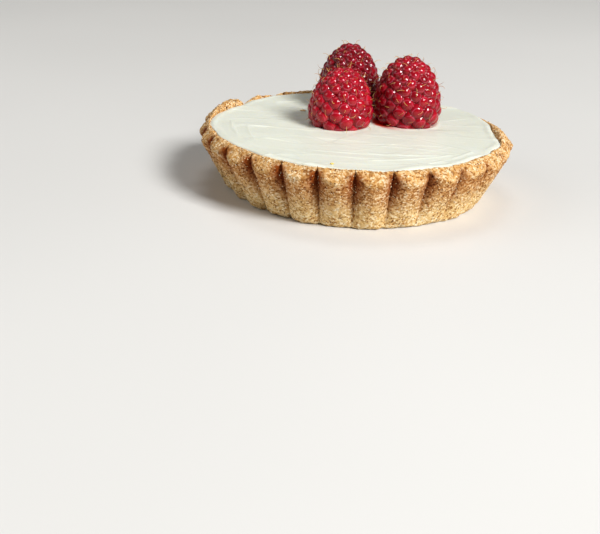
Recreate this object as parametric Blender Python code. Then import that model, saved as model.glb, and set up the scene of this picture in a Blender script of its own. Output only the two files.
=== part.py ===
"""A small fluted berry tart: a baked crumbly shell, a spread cream filling and three raspberries.

Metres, +Z up. The origin is the centre of the flat base. The side that faces -Y is the front.
Run it with: blender --background --python part.py
"""

import math
import random

import bmesh
import bpy
import numpy as np
from mathutils import Matrix, Vector, noise

MM = 0.001
TURN = 2 * math.pi

# Shell: a tin-baked case with a straight, flared, fluted wall and a broad sloping top edge.
BASE_RADIUS = 41.0 * MM
BASE_SHIFT = (0.6 * MM, -0.7 * MM)
RIM_RADIUS = 50.0 * MM
EDGE_HEIGHT = 16.4 * MM
CROWN_RADIUS = 46.7 * MM
CROWN_HEIGHT = 19.4 * MM
RIM_SOFTNESS = 0.7 * MM
RIM_INSET_SHARE = 0.6
SHOULDER_WIDTH = 0.3 * MM
WALL_LEVELS = (0.36, 0.70, 1.0)
FOOT_SOFTNESS = 0.7 * MM
FOOT_INSET_SHARE = 0.9
FLOOR_THICKNESS = 5.0 * MM
FLOOR_RADIUS = 37.0 * MM

# Flutes: rounded lobes that meet in narrow grooves, deep at the rim and shallow at the foot.
FLUTES = 27
FLUTE_DEPTH_RIM = 3.5 * MM
FLUTE_DEPTH_FOOT = 0.4 * MM
GROOVE_BEARING = math.radians(-88.9)
LOBE_ROUNDNESS = 0.74
SIDES_PER_FLUTE = 8
LOBE_SEED = 11
LOBE_REACH = 0.40 * MM
LOBE_RISE = 0.35 * MM
FOOT_REACH = 0.55 * MM
FOOT_RISE = 0.45 * MM

# Crags: the crumbly dough sets unevenly between the foot and the crown.
CRAG_DEPTH = 0.55 * MM
CRAG_SIZE = 3.6 * MM

# Where the flutes run on deep to the foot: bearing and half-width in degrees, millimetres deeper.
DEEP_FOOT = ((-155.0, 45.0, 2.0),)

# Where the flutes are shallow at the rim: bearing and half-width in degrees, millimetres deeper.
SHALLOW_RIM = ((-22.0, 32.0, -2.2),)

# Where the rim swells or slumps: bearing and half-width in degrees, millimetres out and up.
RIM_SWELLS = (
    (-3.0, 10.0, 0.75, 1.4),
    (52.0, 24.0, -0.3, -0.7),
    (170.0, 5.0, 0.5, 0.8),
    (162.0, 9.0, 0.4, 1.4),
    (156.0, 3.5, 0.0, 0.8),
    (147.0, 3.5, -0.3, -1.5),
    (139.0, 6.0, 0.1, 0.4),
    (129.0, 2.0, 0.0, -0.7),
    (116.0, 10.0, 0.1, 0.6),
    (-160.0, 12.0, 0.3, -0.2),
)

# Filling: spread level with the crown, with a soft lip where it meets the shell.
FILL_RADIUS = 44.4 * MM
FILL_HEIGHT = 19.1 * MM
LIP_WIDTH = 1.6 * MM
LIP_DROP = 1.2 * MM
FIT_GAP = 0.3 * MM
SPREAD_RINGS = 4
SPREAD_WAVE = 0.25 * MM
SPREAD_WAVES = ((150, 60, 0.7, 1.0), (90, -170, 2.0, 0.6))
EDGE_WAVES = ((7, 0.15, 0.4), (13, 0.15, 4.4), (23, 0.15, 1.3))

# Where the filling bulges out over the shell, or draws in: bearing and half-width in degrees,
# and how far in millimetres.
EDGE_BULGES = (
    (-176.0, 14.0, 1.7),
    (-137.0, 8.0, -0.8),
    (-102.0, 9.0, 0.6),
    (-78.0, 6.0, 1.2),
    (-66.0, 5.0, -0.4),
    (-54.0, 4.5, 1.5),
    (-36.0, 4.0, -0.5),
    (-29.0, 4.5, 1.4),
    (-15.0, 8.0, 1.6),
    (5.0, 7.0, -0.4),
    (38.0, 20.0, 1.5),
    (80.0, 22.0, 0.9),
    (130.0, 10.0, 1.6),
    (156.0, 7.0, -1.8),
)

# Raspberries: ovals of packed drupelets that stand on their open ends and sink a little way in.
# The drupelets are smaller at the tip, and taller than they are wide.
DRUPELET_PITCH = 4.5 * MM
TIP_SHRINK = 0.25
DRUPELET_TALLNESS = 1.18
DRUPELET_RISE = 0.95 * MM
FLANK_PLACE = 0.62
FLANK_RISE_SHARE = 0.36
MIDDLE_SHARE = 0.38
WIDEST_SHARE = 0.22
UNDERSIDE_SHARE = 0.45
GOLDEN_ANGLE = math.pi * (3 - math.sqrt(5))
SINK_DEPTH = 0.8 * MM
SEAT_CLEARANCE = 0.45 * MM
OUTLINE_STEPS = 240

# The packing is a golden spiral, shaken and then crowded until it lies evenly.
SHAKE = 0.45
SEEDS_PER_RADIAN = 10
CROWDING_STEPS = 150
CROWDING_REACH = 1.7
CROWDING_RATE = 0.15

# Each raspberry: name, place across and along, widest radius, height above the cream,
# taper, lean in degrees about X and about Y, and the turn of its spiral.
RASPBERRIES = (
    ("raspberry_front", -5.3 * MM, 2.4 * MM, 10.6 * MM, 18.8 * MM, 0.55, 3.0, 3.0, 0.3),
    ("raspberry_right", 16.8 * MM, 10.2 * MM, 11.2 * MM, 21.8 * MM, 0.50, 2.0, -3.0, 1.9),
    ("raspberry_back", -2.9 * MM, 25.2 * MM, 11.0 * MM, 21.8 * MM, 0.54, -3.0, -1.0, 4.1),
)

# Edges that bend more than this many degrees show as creases.
CRUST_CREASE = 35.0
FRUIT_CREASE = 80.0


def clear_scene():
    for thing in list(bpy.data.objects):
        bpy.data.objects.remove(thing, do_unlink=True)


def material(name, colour, roughness, subsurface=0.0):
    """A Principled material with a linear colour."""
    made = bpy.data.materials.new(name)
    made.use_nodes = True
    made.diffuse_color = (*colour, 1.0)
    shader = made.node_tree.nodes["Principled BSDF"]
    shader.inputs["Base Color"].default_value = (*colour, 1.0)
    shader.inputs["Roughness"].default_value = roughness
    shader.inputs["Metallic"].default_value = 0.0
    shader.inputs["Subsurface Weight"].default_value = subsurface
    return made


def place(name, bm, finish, smooth_below=CRUST_CREASE):
    """Turns a bmesh into a named object with its faces outwards, smooth where it bends less than this."""
    bmesh.ops.recalc_face_normals(bm, faces=bm.faces)
    mesh = bpy.data.meshes.new(name)
    bm.to_mesh(mesh)
    bm.free()
    mesh.materials.append(finish)
    mesh.shade_smooth()
    mesh.set_sharp_from_angle(angle=math.radians(smooth_below))
    thing = bpy.data.objects.new(name, mesh)
    bpy.context.scene.collection.objects.link(thing)
    return thing


def closed_stack(rings):
    """A closed solid from rings of equal length, listed from the middle below to the middle above."""
    bm = bmesh.new()
    rows = [[bm.verts.new(point) for point in ring] for ring in rings]
    for lower, upper in zip(rows, rows[1:]):
        for i in range(len(lower)):
            j = (i + 1) % len(lower)
            bm.faces.new((lower[i], lower[j], upper[j], upper[i]))
    bm.faces.new(list(reversed(rows[0])))
    bm.faces.new(rows[-1])
    return bm


def polar(radius, bearing, height):
    return Vector((radius * math.cos(bearing), radius * math.sin(bearing), height))


def bumps_at(bearing, bumps):
    """The sums, at this bearing, of bell-shaped bumps given as (bearing, half-width, size, size ...)."""
    sums = [0.0] * (len(bumps[0]) - 2)
    for middle, half_width, *sizes in bumps:
        off = math.degrees(math.remainder(bearing - math.radians(middle), TURN))
        share = math.exp(-((off / half_width) ** 2))
        sums = [total + size * share for total, size in zip(sums, sizes)]
    return sums


# Shell


def lobe_quirks():
    """How far each lobe departs from the regular one, in shares of the most: at the rim out and up,
    and at the foot out and up."""
    draw = random.Random(LOBE_SEED)
    return [(draw.uniform(-1, 1), draw.uniform(-1, 1), draw.uniform(-1, 1), draw.random())
            for _ in range(FLUTES)]


def flute_at(bearing):
    """(which lobe, place across it from -1 to 1) at this bearing, with a groove at each end."""
    turns = ((bearing - GROOVE_BEARING) / TURN * FLUTES) % FLUTES
    lobe = int(turns)
    return lobe % FLUTES, 2 * (turns - lobe) - 1


def groove_share(across):
    """0 on the lobe's middle, 1 in the grooves: the arc of a round lobe."""
    deepest = 1 - math.sqrt(1 - LOBE_ROUNDNESS**2)
    return (1 - math.sqrt(1 - (LOBE_ROUNDNESS * across) ** 2)) / deepest


def section_at(bearing, quirks):
    """The shell's cut at this bearing, as (radius, height), from the foot over the rim to the floor."""
    lobe, across = flute_at(bearing)
    groove = groove_share(across)
    reach, rise, foot_reach, foot_rise = quirks[lobe]
    swell = 1 - across**2
    spread, raised = bumps_at(bearing, RIM_SWELLS)
    lift = LOBE_RISE * rise * swell + raised * MM
    rim = RIM_RADIUS + LOBE_REACH * reach * swell + spread * MM
    crown = CROWN_HEIGHT + lift

    # The wall is a line in radius and height, and so is the sloping top: they meet at the edge.
    shift = BASE_SHIFT[0] * math.cos(bearing) + BASE_SHIFT[1] * math.sin(bearing)
    foot_depth = FLUTE_DEPTH_FOOT + bumps_at(bearing, DEEP_FOOT)[0] * MM
    rim_depth = FLUTE_DEPTH_RIM + bumps_at(bearing, SHALLOW_RIM)[0] * MM
    foot = BASE_RADIUS + shift - foot_depth * groove + FOOT_REACH * foot_reach * swell
    flare = (rim - rim_depth * groove - foot) / EDGE_HEIGHT
    fall = (RIM_RADIUS - CROWN_RADIUS) / (CROWN_HEIGHT - EDGE_HEIGHT)
    edge = (CROWN_RADIUS + crown * fall - foot) / (flare + fall)

    inner = fill_edge(bearing) + FIT_GAP
    lip = FILL_HEIGHT - LIP_DROP
    soft = edge - RIM_SOFTNESS
    crown_radius = min(CROWN_RADIUS, foot + flare * edge - RIM_SOFTNESS)
    heel = FOOT_SOFTNESS + FOOT_RISE * foot_rise * swell
    return [
        (foot - heel * FOOT_INSET_SHARE, 0.0),
        (foot + flare * heel, heel),
        *[(foot + flare * soft * share, soft * share) for share in WALL_LEVELS],
        (foot + flare * edge - RIM_SOFTNESS * RIM_INSET_SHARE, edge + RIM_SOFTNESS * (1 - RIM_INSET_SHARE)),
        (max(crown_radius, inner + SHOULDER_WIDTH), crown),
        (inner + SHOULDER_WIDTH, max(crown - SHOULDER_WIDTH, lip + SHOULDER_WIDTH)),
        (inner, lip),
        (FLOOR_RADIUS, FLOOR_THICKNESS),
    ]


def cragged(point):
    """The point moved in or out by the dough's unevenness there."""
    out = Vector((point.x, point.y, 0)).normalized()
    return point + out * CRAG_DEPTH * noise.noise(point / CRAG_SIZE)


def build_crust(finish):
    quirks = lobe_quirks()
    steps = FLUTES * SIDES_PER_FLUTE
    bearings = [GROOVE_BEARING + TURN * i / steps for i in range(steps)]
    sections = [section_at(bearing, quirks) for bearing in bearings]
    rings = [
        [polar(section[level][0], bearing, section[level][1]) for section, bearing in zip(sections, bearings)]
        for level in range(len(sections[0]))
    ]
    foot_ring, *wall_rings, shoulder, lip, floor = rings
    wall_rings = [[cragged(point) for point in ring] for ring in wall_rings]
    return place("crust", closed_stack([foot_ring, *wall_rings, shoulder, lip, floor]), finish)


# Filling


def fill_edge(bearing):
    """The filling's radius at this bearing: the knife left an uneven edge."""
    waves = sum(size * math.sin(count * bearing + start) for count, size, start in EDGE_WAVES)
    return FILL_RADIUS + MM * (waves + bumps_at(bearing, EDGE_BULGES)[0])


def spread_height(x, y):
    """The cream's top at this place: low, broad waves left by a palette knife."""
    sweep = 0.0
    for along, across, start, size in SPREAD_WAVES:
        sweep += size * math.sin(along * x + across * y + start)
    return FILL_HEIGHT + SPREAD_WAVE * sweep


def build_cream(finish, seats):
    steps = FLUTES * SIDES_PER_FLUTE
    bearings = [GROOVE_BEARING + TURN * i / steps for i in range(steps)]
    floor = [polar(FLOOR_RADIUS - FIT_GAP, a, FLOOR_THICKNESS + FIT_GAP) for a in bearings]
    side = [polar(fill_edge(a), a, FILL_HEIGHT - LIP_DROP) for a in bearings]
    rings = [floor, side]
    for ring in range(SPREAD_RINGS, 0, -1):
        flat = [polar((fill_edge(a) - LIP_WIDTH) * ring / SPREAD_RINGS, a, 0.0) for a in bearings]
        rings.append([Vector((p.x, p.y, spread_height(p.x, p.y))) for p in flat])
    bm = closed_stack(rings)

    # The innermost ring closes on one point in the middle, so that the waves carry on across it.
    bm.faces.ensure_lookup_table()
    bmesh.ops.poke(bm, faces=[bm.faces[-1]])
    cream = place("cream", bm, finish)
    for seat in seats:
        cut = cream.modifiers.new("seat_" + seat.name, "BOOLEAN")
        cut.operation = "DIFFERENCE"
        cut.solver = "EXACT"
        cut.object = seat
    return cream


# Raspberries


def outline(height, tall, widest, taper):
    """A raspberry's radius at this height above the cream: a tapering dome on a rounded underside."""
    shoulder = WIDEST_SHARE * tall
    if height >= shoulder:
        up = min(1.0, (height - shoulder) / (tall - shoulder))
        return widest * (1 - up * up) ** taper
    down = min(1.0, (shoulder - height) / (UNDERSIDE_SHARE * tall))
    return widest * math.sqrt(1 - down * down)


def pitch_at(heights, tall):
    """How far apart the drupelets lie at these heights: they get smaller towards the tip."""
    shoulder = WIDEST_SHARE * tall
    return DRUPELET_PITCH * (1 - TIP_SHRINK * np.clip((heights - shoulder) / (tall - shoulder), 0, 1))


def spiral_sites(heights, radii, tall, widest, start):
    """Drupelet tops on a shaken golden spiral over the oval, each with the room that its height asks."""
    slant = np.hypot(np.diff(heights), np.diff(radii))
    ring = math.pi * (radii[1:] + radii[:-1]) * slant
    each = pitch_at((heights[1:] + heights[:-1]) / 2, tall) ** 2 * math.sqrt(3) / 2
    covered = np.concatenate([[0], np.cumsum(ring / each)])
    count = round(covered[-1])
    height = np.interp(covered[-1] * (np.arange(count) + 0.5) / count, covered, heights)
    radius = np.interp(height, heights[::-1], radii[::-1])
    draw = random.Random(round(start * SEEDS_PER_RADIAN))
    shaken = np.array([draw.uniform(-1, 1) for _ in range(count)]) * SHAKE * DRUPELET_PITCH / widest
    bearing = start + GOLDEN_ANGLE * np.arange(count) + shaken
    return np.column_stack([radius * np.cos(bearing), radius * np.sin(bearing), height])


def crowded(sites, heights, radii, tall):
    """The sites after they have pushed each other along the oval until they lie evenly."""
    squash = np.array((1, 1, 1 / DRUPELET_TALLNESS))
    for _ in range(CROWDING_STEPS):
        pitch = pitch_at(sites[:, 2], tall)
        gaps = (sites[:, None] - sites[None]) * squash
        far = np.linalg.norm(gaps, axis=2) + DRUPELET_PITCH * np.eye(len(sites))
        reach = CROWDING_REACH * (pitch[:, None] + pitch[None]) / 2
        push = np.clip(1 - far / reach, 0, None) ** 2 / far
        moved = sites + CROWDING_RATE * pitch[:, None] * (push[..., None] * gaps).sum(1)
        out = np.hypot(moved[:, 0], moved[:, 1])
        nearest = ((out[:, None] - radii) ** 2 + (moved[:, 2, None] - heights) ** 2).argmin(1)
        across = moved[:, :2] / out[:, None] * radii[nearest, None]
        sites = np.column_stack([across, heights[nearest]])
    return sites


def drupelet_sites(tall, widest, taper, start):
    """Drupelet tops all over the oval, underside included."""
    low = (WIDEST_SHARE - UNDERSIDE_SHARE) * tall
    heights = np.linspace(tall, low, OUTLINE_STEPS + 1)
    radii = np.array([outline(h, tall, widest, taper) for h in heights])
    sites = spiral_sites(heights, radii, tall, widest, start)
    return [Vector(site) for site in crowded(sites, heights, radii, tall)]


def hull_of(points):
    bm = bmesh.new()
    for point in points:
        bm.verts.new(point)
    bmesh.ops.convex_hull(bm, input=bm.verts)
    bm.normal_update()
    return bm


def faces_round(vert):
    """The faces round a vertex of a closed mesh, in order."""
    found = []
    loop = vert.link_loops[0]
    while loop.face not in found:
        found.append(loop.face)
        loop = loop.link_loop_prev.link_loop_radial_next
    return found


def domed(sites, middle):
    """A closed skin with one faceted dome for each site and a valley where three of them meet."""
    hull = hull_of(sites)
    bm = bmesh.new()
    valleys = {}
    for face in hull.faces:
        centre = face.calc_center_median()
        inwards = (middle - centre).normalized()
        valleys[face.index] = bm.verts.new(centre + inwards * DRUPELET_RISE)
    for vert in hull.verts:
        top = bm.verts.new(vert.co)
        dips = [valleys[face.index] for face in faces_round(vert)]
        outwards = (vert.co - middle).normalized()
        lifted = outwards * DRUPELET_RISE * FLANK_RISE_SHARE
        flank = [bm.verts.new(top.co.lerp(dip.co, FLANK_PLACE) + lifted) for dip in dips]
        for i in range(len(dips)):
            j = (i + 1) % len(dips)
            bm.faces.new((top, flank[i], flank[j]))
            bm.faces.new((flank[i], dips[i], dips[j], flank[j]))
    hull.free()
    return bm


def cut_level(bm, height):
    """Takes away what is below this height, and closes the cut with one flat face."""
    everything = bm.verts[:] + bm.edges[:] + bm.faces[:]
    cut = bmesh.ops.bisect_plane(
        bm,
        geom=everything,
        dist=1e-6,
        plane_co=(0, 0, height),
        plane_no=(0, 0, 1),
        clear_inner=True,
    )
    rim = [piece for piece in cut["geom_cut"] if isinstance(piece, bmesh.types.BMEdge)]
    bmesh.ops.contextual_create(bm, geom=rim)


def leaning_sites(tall, widest, taper, lean_x, lean_y, start):
    """A raspberry's drupelet sites and its middle, leaned about the point where it meets the cream."""
    lean = Matrix.Rotation(math.radians(lean_x), 4, "X") @ Matrix.Rotation(math.radians(lean_y), 4, "Y")
    middle = lean @ Vector((0, 0, tall * MIDDLE_SHARE))
    return [lean @ site for site in drupelet_sites(tall, widest, taper, start)], middle


def build_raspberry(spec, finish):
    name, x, y, widest, tall, *shape = spec
    sites, middle = leaning_sites(tall, widest, *shape)
    bm = domed(sites, middle)
    cut_level(bm, -SINK_DEPTH)
    berry = place(name, bm, finish, smooth_below=FRUIT_CREASE)
    berry.location = (x, y, FILL_HEIGHT)
    return berry


def build_seat(spec, finish):
    """The hollow that a raspberry presses in the cream, as a cutter."""
    name, x, y, widest, tall, *shape = spec
    sites, middle = leaning_sites(tall, widest, *shape)
    loose = [site + (site - middle).normalized() * SEAT_CLEARANCE for site in sites]
    bm = hull_of(loose)
    cut_level(bm, -SINK_DEPTH - FIT_GAP)
    seat = place(name + "_seat", bm, finish)
    seat.location = (x, y, FILL_HEIGHT)
    seat.hide_render = True
    seat.display_type = "WIRE"
    return seat


def main():
    clear_scene()
    pastry = material("wholegrain_pastry", (0.50, 0.29, 0.12), 0.85)
    filling = material("whipped_cream_filling", (0.87, 0.84, 0.72), 0.45, subsurface=0.2)
    fruit = material("raspberry", (0.45, 0.012, 0.03), 0.30, subsurface=0.3)
    seats = [build_seat(spec, filling) for spec in RASPBERRIES]
    build_crust(pastry)
    build_cream(filling, seats)
    for spec in RASPBERRIES:
        build_raspberry(spec, fruit)


main()
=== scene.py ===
import math
import random

import bmesh
import bpy
import numpy as np
from mathutils import Matrix, Vector, noise


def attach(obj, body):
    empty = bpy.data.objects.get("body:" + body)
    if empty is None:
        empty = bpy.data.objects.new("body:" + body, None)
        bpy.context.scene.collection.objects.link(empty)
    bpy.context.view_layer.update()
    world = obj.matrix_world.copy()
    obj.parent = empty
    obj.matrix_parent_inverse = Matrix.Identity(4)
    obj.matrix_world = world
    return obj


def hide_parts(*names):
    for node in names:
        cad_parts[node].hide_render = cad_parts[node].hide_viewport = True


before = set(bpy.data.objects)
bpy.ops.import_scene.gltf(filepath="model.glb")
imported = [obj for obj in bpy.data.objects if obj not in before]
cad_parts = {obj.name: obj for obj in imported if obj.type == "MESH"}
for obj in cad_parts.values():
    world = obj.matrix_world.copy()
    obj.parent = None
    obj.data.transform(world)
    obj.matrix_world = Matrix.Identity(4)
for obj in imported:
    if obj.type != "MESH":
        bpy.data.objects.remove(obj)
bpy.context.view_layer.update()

MM = 0.001
TURN = 2 * math.pi
BODY = "root"

# The shell's driving sizes, the same as in the solid.
BASE_RADIUS = 41.0 * MM
BASE_SHIFT = (0.6 * MM, -0.7 * MM)
RIM_RADIUS = 50.0 * MM
EDGE_HEIGHT = 16.4 * MM
CROWN_RADIUS = 46.7 * MM
CROWN_HEIGHT = 19.4 * MM
RIM_SOFTNESS = 0.7 * MM
RIM_INSET_SHARE = 0.6
SHOULDER_WIDTH = 0.3 * MM
FOOT_SOFTNESS = 0.7 * MM
FOOT_INSET_SHARE = 0.9
FLOOR_THICKNESS = 5.0 * MM
FLOOR_RADIUS = 37.0 * MM
FLUTES = 27
FLUTE_DEPTH_RIM = 3.5 * MM
FLUTE_DEPTH_FOOT = 0.4 * MM
GROOVE_BEARING = math.radians(-88.9)
LOBE_ROUNDNESS = 0.74
LOBE_SEED = 11
LOBE_REACH = 0.40 * MM
LOBE_RISE = 0.35 * MM
FOOT_REACH = 0.55 * MM
FOOT_RISE = 0.45 * MM

# Where the flutes run on deep to the foot: bearing and half-width in degrees, millimetres deeper.
DEEP_FOOT = ((-155.0, 45.0, 2.0),)

# Where the flutes are shallow at the rim: bearing and half-width in degrees, millimetres deeper.
SHALLOW_RIM = ((-22.0, 32.0, -2.2),)

# Where the rim swells or slumps: bearing and half-width in degrees, millimetres out and up.
RIM_SWELLS = (
    (-3.0, 10.0, 0.75, 1.4),
    (52.0, 24.0, -0.3, -0.7),
    (170.0, 5.0, 0.5, 0.8),
    (162.0, 9.0, 0.4, 1.4),
    (156.0, 3.5, 0.0, 0.8),
    (147.0, 3.5, -0.3, -1.5),
    (139.0, 6.0, 0.1, 0.4),
    (129.0, 2.0, 0.0, -0.7),
    (116.0, 10.0, 0.1, 0.6),
    (-160.0, 12.0, 0.3, -0.2),
)

# Where the top of the rim is broken and rough: bearing and half-width in degrees, and how much more.
ROUGH_RIM = (
    (160.0, 12.0, 2.2),
    (130.0, 14.0, 1.0),
    (-168.0, 8.0, 0.4),
    (0.0, 12.0, 0.7),
)

# How far the shell's corners are rounded, and how ragged its foot is.
CORNER_SOFTNESS = 0.5 * MM
FOOT_RAGGEDNESS = 0.35 * MM

# How rough the tin left the wall, how much rougher the top broke off, and the heights between which
# wall turns to top. Below the crisp heights the shell's corners are not rounded.
WALL_ROUGHNESS = 0.75
TOP_ROUGHNESS = 0.35
TOP_HEIGHTS = (16.0 * MM, 18.0 * MM)
CRISP_HEIGHTS = (1.5 * MM, 3.5 * MM)
CRISP_BLUR = 0.01

# Two lobes meet in a crease: where it starts on a lobe that reaches from 0 to 1, and how much deeper it is.
CREASE_PLACE = 0.84
CREASE_SHARE = 0.30

# Grains in the shell: name, finish and its shades, the largest, how flat they are, and the seed.
GRAINS_PER_AREA = 0.34 / MM**2
SMALLEST_GRAIN = 0.24 * MM
GRAINS = (
    ("nut_grains", "pale_nut_grains",
     ((0.0, "D2A871"), (0.5, "E0C596"), (1.0, "F2E6C8")), 0.58 * MM, 0.7, 21),
    ("bran_flecks", "toasted_bran_flecks",
     ((0.0, "46200C"), (0.6, "763E18"), (1.0, "9A5C2A")), 0.62 * MM, 0.5, 44),
)

# The filling's driving sizes, the same as in the solid.
FILL_RADIUS = 44.4 * MM
FILL_HEIGHT = 19.1 * MM
LIP_DROP = 1.2 * MM
FIT_GAP = 0.3 * MM
SPREAD_WAVE = 0.25 * MM
SPREAD_WAVES = ((150, 60, 0.7, 1.0), (90, -170, 2.0, 0.6))
EDGE_WAVES = ((7, 0.15, 0.4), (13, 0.15, 4.4), (23, 0.15, 1.3))

# Where the filling bulges out over the shell, or draws in: bearing and half-width in degrees,
# and how far in millimetres.
EDGE_BULGES = (
    (-176.0, 14.0, 1.7),
    (-137.0, 8.0, -0.8),
    (-102.0, 9.0, 0.6),
    (-78.0, 6.0, 1.2),
    (-66.0, 5.0, -0.4),
    (-54.0, 4.5, 1.5),
    (-36.0, 4.0, -0.5),
    (-29.0, 4.5, 1.4),
    (-15.0, 8.0, 1.6),
    (5.0, 7.0, -0.4),
    (38.0, 20.0, 1.5),
    (80.0, 22.0, 0.9),
    (130.0, 10.0, 1.6),
    (156.0, 7.0, -1.8),
)

# Where the cream was spread on over the shell's top: bearing and half-width, and how far.
EDGE_SPILLS = (
    (36.0, 18.0, 1.0),
    (-172.0, 12.0, 0.3),
    (120.0, 20.0, 0.4),
)

# How the filling's edge rolls over the shell's top, and how deep it reaches down inside.
EDGE_OVERHANG = 0.25 * MM
EDGE_ROLL = 0.65 * MM
ROLL_STEPS = 9
EDGE_INSET = 1.2 * MM
EDGE_DEPTH = 2.2 * MM

# A low lip runs round where the knife pulled away: how high, how far from the edge and how wide.
LIP_HEIGHT = 0.22 * MM
LIP_PLACE = 1.6 * MM
LIP_SPREAD = 0.9 * MM

# The cream that the fruit pushes up round its foot: how high, how far off and how wide, and the tinge
# of juice there: how strong and how far it reaches.
PUSH_HEIGHT = 0.30 * MM
PUSH_PLACE = 0.5 * MM
PUSH_SPREAD = 0.9 * MM
TINGE = 0.30
TINGE_REACH = 0.5 * MM

# The fruit's foot against its widest radius, and where juice has run out from under one of them: how
# far, and bearing from its middle, half-width in degrees and strength.
FOOT_SHARE = 0.86
JUICY = "raspberry_right"
JUICE_REACH = 2.3 * MM
JUICE_RUNS = ((-155.0, 36.0, 1.5),)

# Crumbs that lie on the cream are uneven by this share, in bumps of this fineness. Each has its name,
# place and half-sizes, and the sRGB shades that it lies between.
CRUMB_UNEVENNESS = 0.5
CRUMB_FINENESS = 1.7
CRUMBS = (
    ("yellow_crumb", (-5.8 * MM, -41.0 * MM), (0.52 * MM, 0.36 * MM, 0.30 * MM), ("D2B03E", "F0DC84")),
    ("pastry_crumb", (-17.8 * MM, 17.0 * MM), (0.95 * MM, 0.60 * MM, 0.30 * MM), ("D0A878", "EED4A8")),
)

# Knife strokes at random: how many, how far out, and the mean and spread of their heading. Then the
# least and the most of their half-length, half-width, bend, ridge and tilt. Millimetres and degrees,
# but for the bend, which is a share of the square of the way along, for each metre.
STROKES = 34
STROKES_REACH = 40
STROKES_SEED = 5
STROKE_HEADING = (4, 16)
STROKE_SPANS = ((12, 34), (2.5, 6.0), (-9, 9), (0.03, 0.11), (-0.09, 0.09))

# Knife strokes that show clearly: place across and along, heading, half-length, half-width, bend,
# the ridge that it left at its side, and tilt. Millimetres and degrees, but for the bend.
CLEAR_STROKES = (
    (-40.0, -14.0, -70.0, 13.0, 3.0, 12.0, 0.20, 0.08),
    (-34.6, -14.0, -76.0, 9.0, 2.0, 12.0, 0.14, 0.08),
    (8.0, -31.0, 3.0, 24.0, 2.2, 5.0, 0.12, -0.08),
    (18.0, -34.0, 22.0, 15.0, 2.4, 9.0, 0.26, 0.12),
    (25.0, -34.5, 38.0, 3.5, 1.6, 0.0, 0.30, 0.10),
    (34.0, -25.0, 52.0, 6.0, 1.6, 10.0, 0.20, 0.08),
    (-22.0, 27.5, 17.0, 7.0, 1.3, 0.0, 0.20, 0.10),
    (-17.0, 32.0, 22.0, 6.0, 1.2, 0.0, 0.18, 0.10),
    (-20.0, 20.0, 30.0, 5.0, 1.0, 0.0, 0.16, 0.06),
)

# How a stroke lies: the share of its half-length where its end begins, how far its side is soft, how
# much of the old height it leaves, the fine lines that it drags, and its ridge's width on either side.
STROKE_END = 0.75
STROKE_SIDE = (-0.5 * MM, 0.3 * MM)
STROKE_LEAVES = 0.55
LINE_HEIGHT = 0.018 * MM
LINE_WIDTH = 0.17 * MM
LINE_DRIFT = 40
RIDGE_WIDTHS = (0.42 * MM, 0.38 * MM)
RIGHT_RIDGE_SHARE = 0.4

# The raspberries' packing, the same as in the solids.
DRUPELET_PITCH = 4.5 * MM
TIP_SHRINK = 0.25
WIDEST_SHARE = 0.22
UNDERSIDE_SHARE = 0.45
GOLDEN_ANGLE = math.pi * (3 - math.sqrt(5))
SINK_DEPTH = 0.8 * MM
OUTLINE_STEPS = 240
DRUPELET_TALLNESS = 1.18
DRUPELET_ROUNDNESS = 0.56
SHAKE = 0.45
SEEDS_PER_RADIAN = 10
CROWDING_STEPS = 150
CROWDING_REACH = 1.7
CROWDING_RATE = 0.15
MIDDLE_SHARE = 0.38

# How much the drupelets differ in size, place and tint, and how far the crease between two is filled.
SIZE_SPREAD = 0.05
PLACE_SPREAD = 0.08 * MM
TINT_SPREAD = 0.5
CREASE_FILL = 0.06 * MM

# The dried styles: how many drupelets carry one, from what height, how long, and how thick for that.
STYLE_SHARE = 0.85
STYLE_LEVEL = 1.0 * MM
STYLE_LENGTH = 1.9 * MM
STYLE_THICKNESS = 0.044

# Each raspberry: name, place across and along, widest radius, height above the cream,
# taper, lean in degrees about X and about Y, the turn of its spiral, and how light its red is.
RASPBERRIES = (
    ("raspberry_front", -5.3 * MM, 2.4 * MM, 10.6 * MM, 18.8 * MM, 0.55, 3.0, 3.0, 0.3, 0.45),
    ("raspberry_right", 16.8 * MM, 10.2 * MM, 11.2 * MM, 21.8 * MM, 0.50, 2.0, -3.0, 1.9, 0.22),
    ("raspberry_back", -2.9 * MM, 25.2 * MM, 11.0 * MM, 21.8 * MM, 0.54, -3.0, -1.0, 4.1, -0.18),
)

# How finely the pieces are meshed.
SIDES_PER_FLUTE = 40
WALL_ROWS = 50
CREAM_SIDES = 640
CREAM_RINGS = 112
DRUPELET_DETAIL = 7
CRUMB_DETAIL = 3

# How many rows lie between the shell's levels, how many of these spans are outside, and the rows of
# the heel where the roughness starts.
SHELL_SPANS = (2, 3, 3, WALL_ROWS, 5, 9, 7, 2, 4, 2)
SPANS_OUTSIDE = 7
HEEL_ROWS = (5, 8)
FADING_ROWS = 2


# Nodes and meshes


def linear(text):
    """A colour from its sRGB hex digits, turned to linear."""
    parts = [int(text[i : i + 2], 16) / 255 for i in (0, 2, 4)]
    lit = [p / 12.92 if p <= 0.04045 else ((p + 0.055) / 1.055) ** 2.4 for p in parts]
    return (*lit, 1.0)


def fill(tree, node, inputs):
    """Fills or links a node's inputs, given in their order or by number and name."""
    for key, value in inputs.items() if isinstance(inputs, dict) else enumerate(inputs):
        if isinstance(key, int):
            socket = node.inputs[key]
        else:
            socket = next(s for s in node.inputs if s.name == key and s.enabled)
        if isinstance(value, bpy.types.NodeSocket):
            tree.links.new(value, socket)
        else:
            socket.default_value = value


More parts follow.
